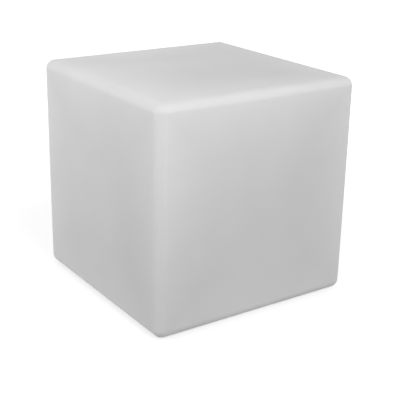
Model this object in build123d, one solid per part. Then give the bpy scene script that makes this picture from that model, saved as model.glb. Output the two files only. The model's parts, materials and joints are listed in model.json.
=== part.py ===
from build123d import *
import math
import os

# LED cube light: a rotationally moulded translucent cube, with a battery light module screwed up into a
# round opening in its base. Millimetres, +Z up, origin on the floor under the middle of the cube.

# ---- Driving dimensions ----

# cube shell
side = 400.0                 # outside edge of the standing cube, feet included
wall = 3.5                   # moulded wall
edge_radius = 16.5           # rounding of all twelve outside edges

# rubber feet
foot_radius = 12.5
foot_thickness = 5.0
foot_proud = 2.5             # how far a foot stands out below the shell
foot_inset = 50.0            # foot centre from the outside faces
foot_clearance = 0.2

# round opening in the base, with its recessed seat
recess_depth = 15.0
recess_mouth_radius = 3.0    # rounding where the recess meets the underside
seat_width = 17.0            # from the opening to the recess wall
opening_gap = 0.8            # opening around the plate's lip

# inserts and screws that hold the module
insert_count = 6
insert_radius = 3.25
insert_length = 8.0
boss_wall = 3.25             # plastic around an insert
base_screw_radius = 2.0      # M4
base_screw_length = 12.0
base_screw_head_radius = 4.0
base_screw_head_height = 2.8

# M3 and M2.5 screws inside the module
screw_radius = 1.5
screw_head_radius = 2.8
screw_head_height = 2.0
small_screw_radius = 1.25
small_screw_head_radius = 2.3
small_screw_head_height = 1.6

# fits
thread_clearance = 0.05      # radial, thread to its tapped hole
hole_clearance = 0.25        # radial, screw to a through hole
slide_clearance = 0.15       # radial, button to its hole
running_clearance = 0.05     # radial, button to its ring seal
seat_gap = 0.2               # parts that stand close but don't bear on each other

# gasket and base plate
gasket_thickness = 2.0
gasket_inset = 1.0           # ring from the opening and from the plate's rim
plate_thickness = 6.0        # under the gasket
plate_gap = 1.5              # plate rim to recess wall
plate_edge_radius = 1.0
floor_thickness = 3.5        # plate inside the housing
counterbore_depth = 3.4
lip_wall = 1.5               # locating lip around the housing
lip_height = 3.0

# module housing: a can, closed on top, over the electronics
housing_wall = 3.0
housing_room = 2.0           # around the furthest corner of what it covers
housing_edge_radius = 1.2
pillar_length = 30.0         # hexagon standoffs between plate and housing top
pillar_across_flats = 5.5
pillar_stud_length = 6.0
pillar_tap_depth = 10.0
pillar_boss_radius = 4.5
pillar_boss_height = 5.0
pillar_boss_gap = 1.0        # boss to the housing's wall
pillar_angles = (60, 120, 240, 300)
housing_screw_length = 12.0

# battery: two 18650 cells side by side along Y
cell_count = 2
cell_radius = 9.25
cell_length = 65.2
cell_clearance = 0.3         # cell to its cradle
cell_button_radius = 2.75
cell_button_height = 1.2
holder_wall = 1.5
holder_end_wall = 2.0
holder_cradle_height = 12.0
holder_center_x = -20.5
pad_thickness = 1.0
pad_inset = 3.0
contact_thickness = 0.5
contact_width = 34.0
contact_height = 13.0
contact_tab_width = 4.0
contact_tab_x = 10.5         # from the middle of the holder, towards the control board
contact_tab_rise = 4.0       # above the end wall
clamp_width = 12.0
clamp_thickness = 2.0
clamp_post_radius = 3.5
clamp_screw_length = 8.0

# control board on its pillars
board_length = 62.0          # along Y
board_width = 35.0           # along X
board_thickness = 1.6
board_center_x = 28.5
board_height = 14.0          # underside above the plate's floor
board_boss_radius = 3.5
board_boss_height = 3.0
board_pillar_across_flats = 5.0
board_pillar_stud_length = 4.0
board_pillar_tap_depth = 5.0
board_hole_inset = 4.0       # screw holes from the board's edges
board_screw_length = 5.0

# parts on the board: centre x, centre y, size along X, size along Y, height
microcontroller_box = (30.0, -6.0, 9.0, 9.0, 1.2)
charge_chip_box = (40.0, -4.0, 5.0, 6.0, 1.5)
battery_connector_box = (17.0, 14.0, 8.0, 9.0, 6.0)
led_connector_box = (29.0, 18.0, 9.0, 6.0, 7.0)
transistor_size = (3.0, 4.0, 1.2)
transistor_count = 4
transistor_pitch = 5.0
transistor_row = (22.0, 3.5)  # centre of the first one
inductor_place = (20.0, -17.0)
inductor_radius = 4.0
inductor_height = 5.0
capacitor_places = ((32.0, -19.0), (40.5, -14.0))
capacitor_radius = 3.15
capacitor_height = 8.0

# push button
button_place = (30.0, 14.0)
button_radius = 6.0
button_proud = 0.5           # face below the plate's underside
button_travel = 1.5
button_flange_radius = 8.0
button_flange_height = 1.5
button_edge_radius = 0.6
seal_width = 1.6
seal_height = 1.6
seal_depth = 0.9             # ring above the plate's underside
switch_side = 12.0
plunger_radius = 1.75
plunger_clearance = 0.1
plunger_engagement = 2.5     # length held inside the switch at rest
switch_spare_travel = 0.5
switch_stand_off = 2.5       # switch body above the button's flange

# charging socket and its cover
socket_place = (30.0, -16.0)
socket_side = 10.0
socket_nose_radius = 4.5
socket_bore_radius = 2.8     # for a 5.5 mm barrel plug
socket_bore_depth = 9.5
socket_pin_radius = 1.05
socket_pin_setback = 1.0     # pin tip inside the mouth
socket_pin_seat = 2.0        # pin held beyond the bore's end
well_radius = 7.0
well_depth = 1.8
cover_thickness = 1.8
cover_radius = 8.5
cover_plug_radius = 6.5
cover_plug_height = 1.6
cover_hinge_reach = 11.0     # socket axis to the hinge line
cover_strap_width = 9.0
cover_tab_reach = 12.5       # socket axis to the end of the pull tab
cover_tab_width = 7.0
anchor_length = 9.0
anchor_stem_radius = 2.0
anchor_head_radius = 3.2
anchor_head_height = 1.5
soft_edge_radius = 0.6       # rounded edges of the silicone pieces

# charging indicator
pipe_place = (18.0, 0.0)
pipe_radius = 1.5
pipe_flange_radius = 2.6
pipe_flange_height = 1.2
status_led_size = (3.0, 2.0, 1.2)

# light source on top of the housing
spreader_gap = 3.0           # rim to the inside of the dome
spreader_thickness = 3.0
led_board_inset = 2.0        # from the spreader's rim
led_board_thickness = 1.6
led_size = 5.0
led_height = 1.5
led_outer_ring_inset = 8.0   # ring of LEDs from the board's rim
led_outer_ring_count = 12
led_inner_ring_radius = 15.0
led_inner_ring_count = 6
led_screw_count = 3
led_screw_start_angle = 30.0
led_screw_length = 9.0
led_boss_radius = 3.5
led_boss_height = 2.0
ir_body = (6.0, 5.0, 7.0)
ir_lens_radius = 2.4

# frosted dome
dome_wall = 2.0
dome_screw_gap = 2.2         # dome to the screw heads around it
dome_height = 46.0
dome_top_radius = 30.0
dome_flange_thickness = 2.5

# leads
lead_radius = 0.8
lead_leave_height = 1.9      # lead's axis above the cells where it leaves its tab
lead_over_clamp = 2.4        # lead's axis above the clamp
lead_pitch = 2.8             # between the two leads in their connector
lead_first_turn_y = 23.0     # where a lead first turns, from the middle of the holder
lead_crossing_x = -2.0       # where the red lead starts down towards the board
red_bend_radius = 4.8
black_bend_radius = 4.0
black_route = ((-9.5, -12.0), (-8.0, 0.0), (-3.0, 9.5))  # over the clamp, chosen by eye
cable_radius = 1.8

# ---- Levels, from the floor up ----

shell_bottom = foot_proud
seat_z = shell_bottom + recess_depth
plate_top = seat_z - gasket_thickness
plate_bottom = plate_top - plate_thickness
floor_top = plate_bottom + floor_thickness
board_bottom = floor_top + board_height
board_top = board_bottom + board_thickness
housing_inside_top = floor_top + pillar_boss_height + pillar_length
housing_top = housing_inside_top + housing_wall
spreader_top = housing_top + spreader_thickness
led_board_top = spreader_top + led_board_thickness
holder_bottom = floor_top + pad_thickness
cell_bottom = holder_bottom + holder_wall + cell_clearance
cell_z = cell_bottom + cell_radius
cell_top = cell_z + cell_radius
clamp_bottom = cell_top + seat_gap
clamp_top = clamp_bottom + clamp_thickness
button_bottom = plate_bottom - button_proud
button_top = floor_top + button_flange_height
switch_bottom = button_top + switch_stand_off
well_top = plate_bottom + well_depth
cover_bottom = plate_bottom - cover_thickness

# ---- Other worked-out sizes ----

cell_pitch = 2 * (cell_radius + cell_clearance) + holder_wall
holder_width = cell_count * cell_pitch + holder_wall
cell_span = cell_length + 2 * contact_thickness
holder_length = cell_span + 2 * holder_end_wall
clamp_post_x = holder_width / 2 + clamp_post_radius + seat_gap
hinge_x = socket_place[0] + cover_hinge_reach
board_low_x = board_center_x - board_width / 2

# The housing goes round the furthest corner of board and holder, and the cube's opening round the housing.
board_corner = math.hypot(board_center_x + board_width / 2, board_length / 2)
holder_corner = math.hypot(abs(holder_center_x) + holder_width / 2, holder_length / 2)
housing_inner_radius = max(board_corner, holder_corner) + housing_room
housing_radius = housing_inner_radius + housing_wall
lip_inner_radius = housing_radius + seat_gap
opening_radius = lip_inner_radius + lip_wall + opening_gap
recess_radius = opening_radius + seat_width
plate_radius = recess_radius - plate_gap
insert_circle_radius = opening_radius + seat_width / 2
pillar_circle_radius = housing_inner_radius - pillar_boss_gap - pillar_boss_radius
dome_radius = pillar_circle_radius - screw_head_radius - dome_screw_gap
spreader_radius = dome_radius - dome_wall - spreader_gap
led_board_radius = spreader_radius - led_board_inset
led_outer_ring_radius = led_board_radius - led_outer_ring_inset
led_screw_circle_radius = (led_outer_ring_radius + led_inner_ring_radius) / 2

plus_z = (Align.CENTER, Align.CENTER, Align.MIN)
level_tolerance = 0.01


def disc(radius, low, high, place=(0, 0)):
    """Upright cylinder between two levels."""
    return Pos(place[0], place[1], low) * Cylinder(radius, high - low, align=plus_z)


def ring(outer, inner, low, high, place=(0, 0)):
    """Upright tube between two levels."""
    return disc(outer, low, high, place) - disc(inner, low, high, place)


def block(size_x, size_y, low, high, place=(0, 0)):
    """Upright box between two levels."""
    return Pos(place[0], place[1], low) * Box(size_x, size_y, high - low, align=plus_z)


def hexagon(across_flats, low, high, place):
    """Upright hexagon bar between two levels."""
    outline = RegularPolygon(across_flats / 2, 6, major_radius=False)
    return Pos(place[0], place[1], low) * extrude(outline, high - low)


def around(radius, count, start=0.0):
    """Places evenly spaced on a circle."""
    angles = [math.radians(start + 360.0 * i / count) for i in range(count)]
    return [(radius * math.cos(a), radius * math.sin(a)) for a in angles]


def circles_at(part, level):
    """Round edges that lie at one level."""
    low = level - level_tolerance
    high = level + level_tolerance
    return part.edges().filter_by(GeomType.CIRCLE).filter_by_position(Axis.Z, low, high)


def round_rims(part, level, radius):
    """Round every circular edge at one level."""
    return fillet(circles_at(part, level), radius)


def group(pieces):
    """Separate solids that share one node."""
    return Compound(children=list(pieces))


def pan_screw(radius, length, head_radius, head_height, seat, place, down=True):
    """Pan-head screw whose head bears on the level called seat, with its shank down or up from there."""
    step = -1 if down else 1
    shank = disc(radius, min(seat, seat + step * length), max(seat, seat + step * length), place)
    head_end = seat - step * head_height
    head = disc(head_radius, min(seat, head_end), max(seat, head_end), place)
    head = round_rims(head, head_end, head_height * 0.45)
    drive = block(head_radius, head_height * 0.25, 0, head_height * 0.5)
    cross = drive + Rot(0, 0, 90) * drive
    cross_low = head_end - head_height * 0.5 if down else head_end
    return shank + head - Pos(place[0], place[1], cross_low) * cross


# ---- Places of what repeats ----

insert_places = around(insert_circle_radius, insert_count)
foot_offset = side / 2 - foot_inset
foot_places = [(x * foot_offset, y * foot_offset) for x in (-1, 1) for y in (-1, 1)]
pillar_places = [
    (pillar_circle_radius * math.cos(math.radians(a)), pillar_circle_radius * math.sin(math.radians(a)))
    for a in pillar_angles
]
board_hole_x = board_width / 2 - board_hole_inset
board_hole_y = board_length / 2 - board_hole_inset
board_hole_places = [(board_center_x + x * board_hole_x, y * board_hole_y) for x in (-1, 1) for y in (-1, 1)]
led_screw_places = around(led_screw_circle_radius, led_screw_count, led_screw_start_angle)
clamp_post_places = [(holder_center_x - clamp_post_x, 0.0), (holder_center_x + clamp_post_x, 0.0)]
cell_places = [
    holder_center_x + (i - (cell_count - 1) / 2) * cell_pitch for i in range(cell_count)
]


# ---- Shell and what is fixed to it ----

def rounded_block(width, low, high, radius):
    """Square block with all twelve edges rounded."""
    solid = block(width, width, low, high)
    return fillet(solid.edges(), radius)


def make_shell():
    outside = rounded_block(side, shell_bottom, side, edge_radius)
    inside = rounded_block(side - 2 * wall, shell_bottom + wall, side - wall, edge_radius - wall)
    shell = outside - inside
    shell += disc(recess_radius + wall, shell_bottom + wall / 2, seat_z + wall)
    boss_top = seat_z + insert_length + wall
    for place in insert_places:
        shell += disc(insert_radius + boss_wall, seat_z, boss_top, place)
    foot_seat = foot_thickness
    for place in foot_places:
        shell += disc(foot_radius + foot_clearance + wall, shell_bottom + wall / 2, foot_seat + wall, place)
    shell -= disc(recess_radius, 0, seat_z)
    shell -= disc(opening_radius, 0, seat_z + wall)
    recess_mouth = circles_at(shell, shell_bottom).sort_by(SortBy.RADIUS)[-1]
    shell = fillet(recess_mouth, recess_mouth_radius)
    for place in insert_places:
        shell -= disc(insert_radius, seat_z, seat_z + insert_length, place)
    for place in foot_places:
        shell -= disc(foot_radius + foot_clearance, 0, foot_seat, place)
    return shell


def make_foot(place):
    foot = disc(foot_radius, 0, foot_thickness, place)
    return round_rims(foot, 0, soft_edge_radius)


def make_shell_inserts():
    bore = base_screw_radius + thread_clearance
    return group(ring(insert_radius, bore, seat_z, seat_z + insert_length, p) for p in insert_places)


# ---- Base plate and its seal ----

def make_base_gasket():
    gasket = ring(plate_radius - gasket_inset, opening_radius + gasket_inset, plate_top, seat_z)
    for place in insert_places:
        gasket -= disc(base_screw_radius + hole_clearance, plate_top, seat_z, place)
    return gasket


def make_base_plate():
    plate = disc(plate_radius, plate_bottom, plate_top)
    plate = round_rims(plate, plate_bottom, plate_edge_radius)
    plate += ring(lip_inner_radius + lip_wall, lip_inner_radius, plate_top, plate_top + lip_height)
    plate -= disc(housing_inner_radius, floor_top, plate_top)
    for place in pillar_places:
        plate += disc(pillar_boss_radius, floor_top, floor_top + pillar_boss_height, place)
        tap_low = floor_top + pillar_boss_height - pillar_stud_length
        plate -= disc(screw_radius + thread_clearance, tap_low, floor_top + pillar_boss_height, place)
    for place in board_hole_places:
        plate += disc(board_boss_radius, floor_top, floor_top + board_boss_height, place)
        tap_low = floor_top + board_boss_height - board_pillar_stud_length
        plate -= disc(small_screw_radius + thread_clearance, tap_low, floor_top + board_boss_height, place)
    for place in insert_places:
        plate -= disc(base_screw_radius + hole_clearance, plate_bottom, plate_top, place)
        plate -= disc(base_screw_head_radius + hole_clearance, plate_bottom, plate_bottom + counterbore_depth, place)
    plate -= disc(button_radius + slide_clearance, plate_bottom, floor_top, button_place)
    seal_low = plate_bottom + seal_depth
    plate -= disc(button_radius + running_clearance + seal_width, seal_low, seal_low + seal_height, button_place)
    plate -= disc(well_radius, plate_bottom, well_top, socket_place)
    plate -= disc(socket_nose_radius + slide_clearance, plate_bottom, floor_top, socket_place)
    plate -= disc(anchor_stem_radius + thread_clearance, plate_bottom, floor_top, anchor_place())
    plate -= disc(pipe_radius + thread_clearance, plate_bottom, floor_top, pipe_place)
    return plate


def make_base_screws():
    seat = plate_bottom + counterbore_depth
    return group(
        pan_screw(base_screw_radius, base_screw_length, base_screw_head_radius, base_screw_head_height,
                  seat, place, down=False)
        for place in insert_places
    )


# ---- Push button ----

def make_power_button():
    button = disc(button_radius, button_bottom, button_top, button_place)
    button = round_rims(button, button_bottom, button_edge_radius)
    return button + disc(button_flange_radius, floor_top, button_top, button_place)


def make_button_seal():
    inner = button_radius + running_clearance
    low = plate_bottom + seal_depth
    return ring(inner + seal_width, inner, low, low + seal_height, button_place)


def make_switch_body():
    body = block(switch_side, switch_side, switch_bottom, board_bottom, button_place)
    bore_top = switch_bottom + plunger_engagement + button_travel + switch_spare_travel
    return body - disc(plunger_radius + plunger_clearance, switch_bottom, bore_top, button_place)


def make_switch_plunger():
    return disc(plunger_radius, button_top, switch_bottom + plunger_engagement, button_place)


# ---- Charging socket, its cover and the indicator ----

def anchor_place():
    """Stem of the cover's fixed end."""
    return (hinge_x + anchor_length / 2, socket_place[1])


def make_charge_socket():
    body = block(socket_side, socket_side, floor_top, board_bottom, socket_place)
    body += disc(socket_nose_radius, well_top, floor_top, socket_place)
    bore_top = well_top + socket_bore_depth
    body -= disc(socket_bore_radius, well_top, bore_top, socket_place)
    return body - disc(socket_pin_radius, bore_top, bore_top + socket_pin_seat, socket_place)


def make_socket_pin():
    tip = well_top + socket_pin_setback
    pin = disc(socket_pin_radius, tip, well_top + socket_bore_depth + socket_pin_seat, socket_place)
    return round_rims(pin, tip, socket_pin_radius * 0.5)


def make_port_cover():
    tab_length = cover_tab_reach - cover_tab_width / 2
    tab_place = (socket_place[0] - tab_length, socket_place[1])
    cover = disc(cover_radius, cover_bottom, plate_bottom, socket_place)
    cover += disc(cover_tab_width / 2, cover_bottom, plate_bottom, tab_place)
    middle = (socket_place[0] - tab_length / 2, socket_place[1])
    cover += block(tab_length, cover_tab_width, cover_bottom, plate_bottom, middle)
    strap_place = (socket_place[0] + cover_hinge_reach / 2, socket_place[1])
    cover += block(cover_hinge_reach, cover_strap_width, cover_bottom, plate_bottom, strap_place)
    return cover + disc(cover_plug_radius, plate_bottom, plate_bottom + cover_plug_height, socket_place)


def make_port_cover_anchor():
    place = anchor_place()
    anchor = block(anchor_length, cover_strap_width, cover_bottom, plate_bottom, place)
    outer_corners = anchor.edges().filter_by(Axis.Z).group_by(Axis.X)[-1]
    anchor = fillet(outer_corners, cover_strap_width * 0.3)
    anchor += disc(anchor_stem_radius, plate_bottom, floor_top, place)
    return anchor + disc(anchor_head_radius, floor_top, floor_top + anchor_head_height, place)


def make_status_led():
    size_x, size_y, height = status_led_size
    return block(size_x, size_y, board_bottom - height, board_bottom, pipe_place)


def make_light_pipe():
    pipe = disc(pipe_radius, plate_bottom, board_bottom - status_led_size[2] - seat_gap, pipe_place)
    return pipe + disc(pipe_flange_radius, floor_top, floor_top + pipe_flange_height, pipe_place)


# ---- Control board ----

def make_control_board():
    board = block(board_width, board_length, board_bottom, board_top, (board_center_x, 0))
    for place in board_hole_places:
        board -= disc(small_screw_radius + hole_clearance, board_bottom, board_top, place)
    return board


def make_board_standoffs():
    low = floor_top + board_boss_height
    tap = small_screw_radius + thread_clearance
    pillars = []
    for place in board_hole_places:
        pillar = hexagon(board_pillar_across_flats, low, board_bottom, place)
        pillar += disc(small_screw_radius, low - board_pillar_stud_length, low, place)
        pillars.append(pillar - disc(tap, board_bottom - board_pillar_tap_depth, board_bottom, place))
    return group(pillars)


def make_board_screws():
    return group(
        pan_screw(small_screw_radius, board_screw_length, small_screw_head_radius, small_screw_head_height,
                  board_top, place)
        for place in board_hole_places
    )


def board_box(box):
    """Rectangular part that stands on the control board."""
    x, y, size_x, size_y, height = box
    return block(size_x, size_y, board_top, board_top + height, (x, y))


def make_driver_transistors():
    size_x, size_y, height = transistor_size
    places = [(transistor_row[0] + i * transistor_pitch, transistor_row[1]) for i in range(transistor_count)]
    return group(board_box((x, y, size_x, size_y, height)) for x, y in places)


def make_inductor():
    coil = disc(inductor_radius, board_top, board_top + inductor_height, inductor_place)
    return round_rims(coil, board_top + inductor_height, inductor_radius * 0.15)


def make_capacitors():
    top = board_top + capacitor_height
    return group(
        round_rims(disc(capacitor_radius, board_top, top, place), top, capacitor_radius * 0.15)
        for place in capacitor_places
    )


# ---- Battery ----

def cell_bar(radius, length, x, start_y=None):
    """Cylinder along Y, centred, or running on from start_y."""
    middle = 0 if start_y is None else start_y + length / 2
    return Pos(x, middle, cell_z) * Rot(90, 0, 0) * Cylinder(radius, length)


def make_battery_cell(x):
    can_length = cell_length - cell_button_height
    can = cell_bar(cell_radius, can_length, x, -cell_length / 2)
    return can + cell_bar(cell_button_radius, cell_button_height, x, cell_length / 2 - cell_button_height)


def make_battery_holder():
    end_wall_top = cell_top
    cradle_top = holder_bottom + holder_cradle_height
    middle = (holder_center_x, 0)
    holder = block(holder_width, holder_length, holder_bottom, cradle_top, middle)
    for sign in (-1, 1):
        end_y = sign * (cell_span + holder_end_wall) / 2
        holder += block(holder_width, holder_end_wall, holder_bottom, end_wall_top, (holder_center_x, end_y))
    for x in cell_places:
        holder -= cell_bar(cell_radius + cell_clearance, cell_span, x)
        holder -= block(2 * (cell_radius + cell_clearance), cell_span, cell_z, cell_top, (x, 0))
    for x, y in clamp_post_places:
        holder += disc(clamp_post_radius, holder_bottom, clamp_bottom, (x, y))
        side_sign = 1 if x > holder_center_x else -1
        web_x = holder_center_x + side_sign * (holder_width / 2 + seat_gap)
        holder += block(clamp_post_radius, clamp_post_radius, holder_bottom, cradle_top, (web_x, y))
        tap_low = clamp_bottom - clamp_screw_length
        holder -= disc(screw_radius + thread_clearance, tap_low, clamp_bottom, (x, y))
    for sign in (-1, 1):
        holder -= contact_plate(sign, cut=True)
    return holder


def contact_plate(sign, cut=False):
    """Nickel plate across the ends of both cells, with its solder tab; or the room that it needs."""
    plate_y = sign * (cell_length + contact_thickness) / 2
    low = cell_z - contact_height / 2
    high = cell_z + contact_height / 2
    plate = block(contact_width, contact_thickness, low, high, (holder_center_x, plate_y))
    if cut:
        return plate
    tab_x = holder_center_x + contact_tab_x
    return plate + block(contact_tab_width, contact_thickness, low, cell_top + contact_tab_rise, (tab_x, plate_y))


def make_battery_contacts():
    return group(contact_plate(sign) for sign in (-1, 1))


def make_battery_pad():
    return block(holder_width - pad_inset, holder_length - pad_inset, floor_top, holder_bottom, (holder_center_x, 0))


def make_battery_clamp():
    reach = 2 * clamp_post_x
    clamp = block(reach, clamp_width, clamp_bottom, clamp_top, (holder_center_x, 0))
    for place in clamp_post_places:
        clamp += disc(clamp_width / 2, clamp_bottom, clamp_top, place)
    for place in clamp_post_places:
        clamp -= disc(screw_radius + hole_clearance, clamp_bottom, clamp_top, place)
    return clamp


def make_clamp_screws():
    return group(
        pan_screw(screw_radius, clamp_screw_length, screw_head_radius, screw_head_height, clamp_top, place)
        for place in clamp_post_places
    )


# ---- Housing, light source and dome ----

def make_housing_standoffs():
    low = floor_top + pillar_boss_height
    pillars = []
    for place in pillar_places:
        pillar = hexagon(pillar_across_flats, low, housing_inside_top, place)
        pillar += disc(screw_radius, low - pillar_stud_length, low, place)
        tap_low = housing_inside_top - pillar_tap_depth
        pillars.append(pillar - disc(screw_radius + thread_clearance, tap_low, housing_inside_top, place))
    return group(pillars)


def make_module_housing():
    housing = disc(housing_radius, plate_top, housing_top)
    housing = round_rims(housing, housing_top, housing_edge_radius)
    housing -= disc(housing_inner_radius, plate_top, housing_inside_top)
    for place in led_screw_places:
        boss_low = housing_inside_top - led_boss_height
        housing += disc(led_boss_radius, boss_low, housing_inside_top + housing_wall / 2, place)
        housing -= disc(screw_radius + thread_clearance, boss_low, housing_top, place)
    for place in pillar_places:
        housing -= disc(screw_radius + hole_clearance, housing_inside_top, housing_top, place)
    return housing - disc(cable_radius + hole_clearance, housing_inside_top, housing_top, led_connector_box)


def make_heat_spreader():
    spreader = disc(spreader_radius, housing_top, spreader_top)
    for place in led_screw_places:
        spreader -= disc(screw_radius + hole_clearance, housing_top, spreader_top, place)
    return spreader - disc(cable_radius + hole_clearance, housing_top, spreader_top, led_connector_box)


def make_led_board():
    board = disc(led_board_radius, spreader_top, led_board_top)
    for place in led_screw_places:
        board -= disc(screw_radius + hole_clearance, spreader_top, led_board_top, place)
    return board


def make_leds():
    leds = []
    rings = ((led_outer_ring_radius, led_outer_ring_count), (led_inner_ring_radius, led_inner_ring_count))
    for radius, count in rings:
        chip = block(led_size, led_size, led_board_top, led_board_top + led_height, (radius, 0))
        leds += [Rot(0, 0, 360.0 * i / count) * chip for i in range(count)]
    return group(leds)


def make_led_board_screws():
    return group(
        pan_screw(screw_radius, led_screw_length, screw_head_radius, screw_head_height, led_board_top, place)
        for place in led_screw_places
    )


def make_ir_receiver():
    size_x, size_y, height = ir_body
    top = led_board_top + height
    body = block(size_x, size_y, led_board_top, top)
    lens = Pos(0, -size_y / 2, led_board_top + height / 2) * Sphere(ir_lens_radius)
    return body + lens


def make_diffuser_dome():
    top = housing_top + dome_height
    flange_top = housing_top + dome_flange_thickness
    dome = disc(dome_radius, housing_top, top)
    dome = round_rims(dome, top, dome_top_radius)
    hollow = disc(dome_radius - dome_wall, housing_top, top - dome_wall)
    hollow = round_rims(hollow, top - dome_wall, dome_top_radius - dome_wall)
    dome += disc(housing_radius - housing_edge_radius, housing_top, flange_top)
    dome -= hollow
    for place in pillar_places:
        dome -= disc(screw_radius + hole_clearance, housing_top, flange_top, place)
    return dome


def make_housing_screws():
    seat = housing_top + dome_flange_thickness
    return group(
        pan_screw(screw_radius, housing_screw_length, screw_head_radius, screw_head_height, seat, place)
        for place in pillar_places
    )


# ---- Leads ----

def make_lead(points, radius, bend_radius):
    """Round lead along straight runs joined by arcs."""
    path = FilletPolyline(*points, radius=bend_radius)
    section = Plane(origin=path @ 0, z_dir=path % 0) * Circle(radius)
    return sweep(section, path=path)


def battery_lead(sign, entry_y, crossing, bend_radius):
    """Lead from one contact's tab to its way into the battery connector, by way of the points in crossing."""
    tab_x = holder_center_x + contact_tab_x
    leave_z = cell_top + lead_leave_height
    connector_x, _, connector_size, _, connector_height = battery_connector_box
    entry_z = board_top + connector_height / 2
    corridor_x = (holder_center_x + holder_width / 2 + board_low_x) / 2
    start = (tab_x, sign * cell_length / 2, leave_z)
    turn = (tab_x, sign * lead_first_turn_y, leave_z)
    end = (connector_x - connector_size / 2, entry_y, entry_z)
    points = [start, turn] + crossing + [(corridor_x, entry_y, entry_z), end]
    return make_lead(points, lead_radius, bend_radius)


def make_battery_lead_red():
    entry_y = battery_connector_box[1] + lead_pitch / 2
    crossing = [(lead_crossing_x, entry_y, cell_top + lead_leave_height)]
    return battery_lead(1, entry_y, crossing, red_bend_radius)


def make_battery_lead_black():
    entry_y = battery_connector_box[1] - lead_pitch / 2
    over_z = clamp_top + lead_over_clamp
    crossing = [(x, y, over_z) for x, y in black_route]
    return battery_lead(-1, entry_y, crossing, black_bend_radius)


def make_led_cable():
    return disc(cable_radius, board_top + led_connector_box[4], spreader_top, led_connector_box)


# ---- Every node, by name ----

nodes = {
    "shell": make_shell,
    "shell_inserts": make_shell_inserts,
    "base_gasket": make_base_gasket,
    "base_plate": make_base_plate,
    "base_screws": make_base_screws,
    "power_button": make_power_button,
    "button_seal": make_button_seal,
    "switch_body": make_switch_body,
    "switch_plunger": make_switch_plunger,
    "charge_socket": make_charge_socket,
    "socket_pin": make_socket_pin,
    "port_cover": make_port_cover,
    "port_cover_anchor": make_port_cover_anchor,
    "status_led": make_status_led,
    "light_pipe": make_light_pipe,
    "control_board": make_control_board,
    "board_standoffs": make_board_standoffs,
    "board_screws": make_board_screws,
    "microcontroller": lambda: board_box(microcontroller_box),
    "charge_chip": lambda: board_box(charge_chip_box),
    "battery_connector": lambda: board_box(battery_connector_box),
    "led_connector": lambda: board_box(led_connector_box),
    "driver_transistors": make_driver_transistors,
    "inductor": make_inductor,
    "capacitors": make_capacitors,
    "battery_pad": make_battery_pad,
    "battery_holder": make_battery_holder,
    "battery_contacts": make_battery_contacts,
    "battery_clamp": make_battery_clamp,
    "clamp_screws": make_clamp_screws,
    "battery_lead_red": make_battery_lead_red,
    "battery_lead_black": make_battery_lead_black,
    "led_cable": make_led_cable,
    "housing_standoffs": make_housing_standoffs,
    "module_housing": make_module_housing,
    "housing_screws": make_housing_screws,
    "heat_spreader": make_heat_spreader,
    "led_board": make_led_board,
    "leds": make_leds,
    "led_board_screws": make_led_board_screws,
    "ir_receiver": make_ir_receiver,
    "diffuser_dome": make_diffuser_dome,
}

os.makedirs("parts", exist_ok=True)
for name, make in nodes.items():
    export_step(make(), f"parts/{name}.step")
for number, place in enumerate(foot_places, start=1):
    export_step(make_foot(place), f"parts/rubber_foot_{number}.step")
for number, x in enumerate(cell_places, start=1):
    export_step(make_battery_cell(x), f"parts/battery_cell_{number}.step")
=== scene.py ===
# %% [markdown]
# # A cube light of translucent plastic, dressed for its portrait
# The real object is one rotationally moulded cube of milky polyethylene, 400 mm on a side, with a round
# module of light source, battery and button screwed into its base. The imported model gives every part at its
# true place. This lesson makes finer pieces for what shows outside: the cube's skin, its feet, the screws,
# the button, and the charging socket's cover with its hinge. Then it gives every part its finish, and sets
# up the floor, the sky and the lamps.

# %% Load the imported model
import json
import math

import bpy
from mathutils import Matrix, Vector

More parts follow.
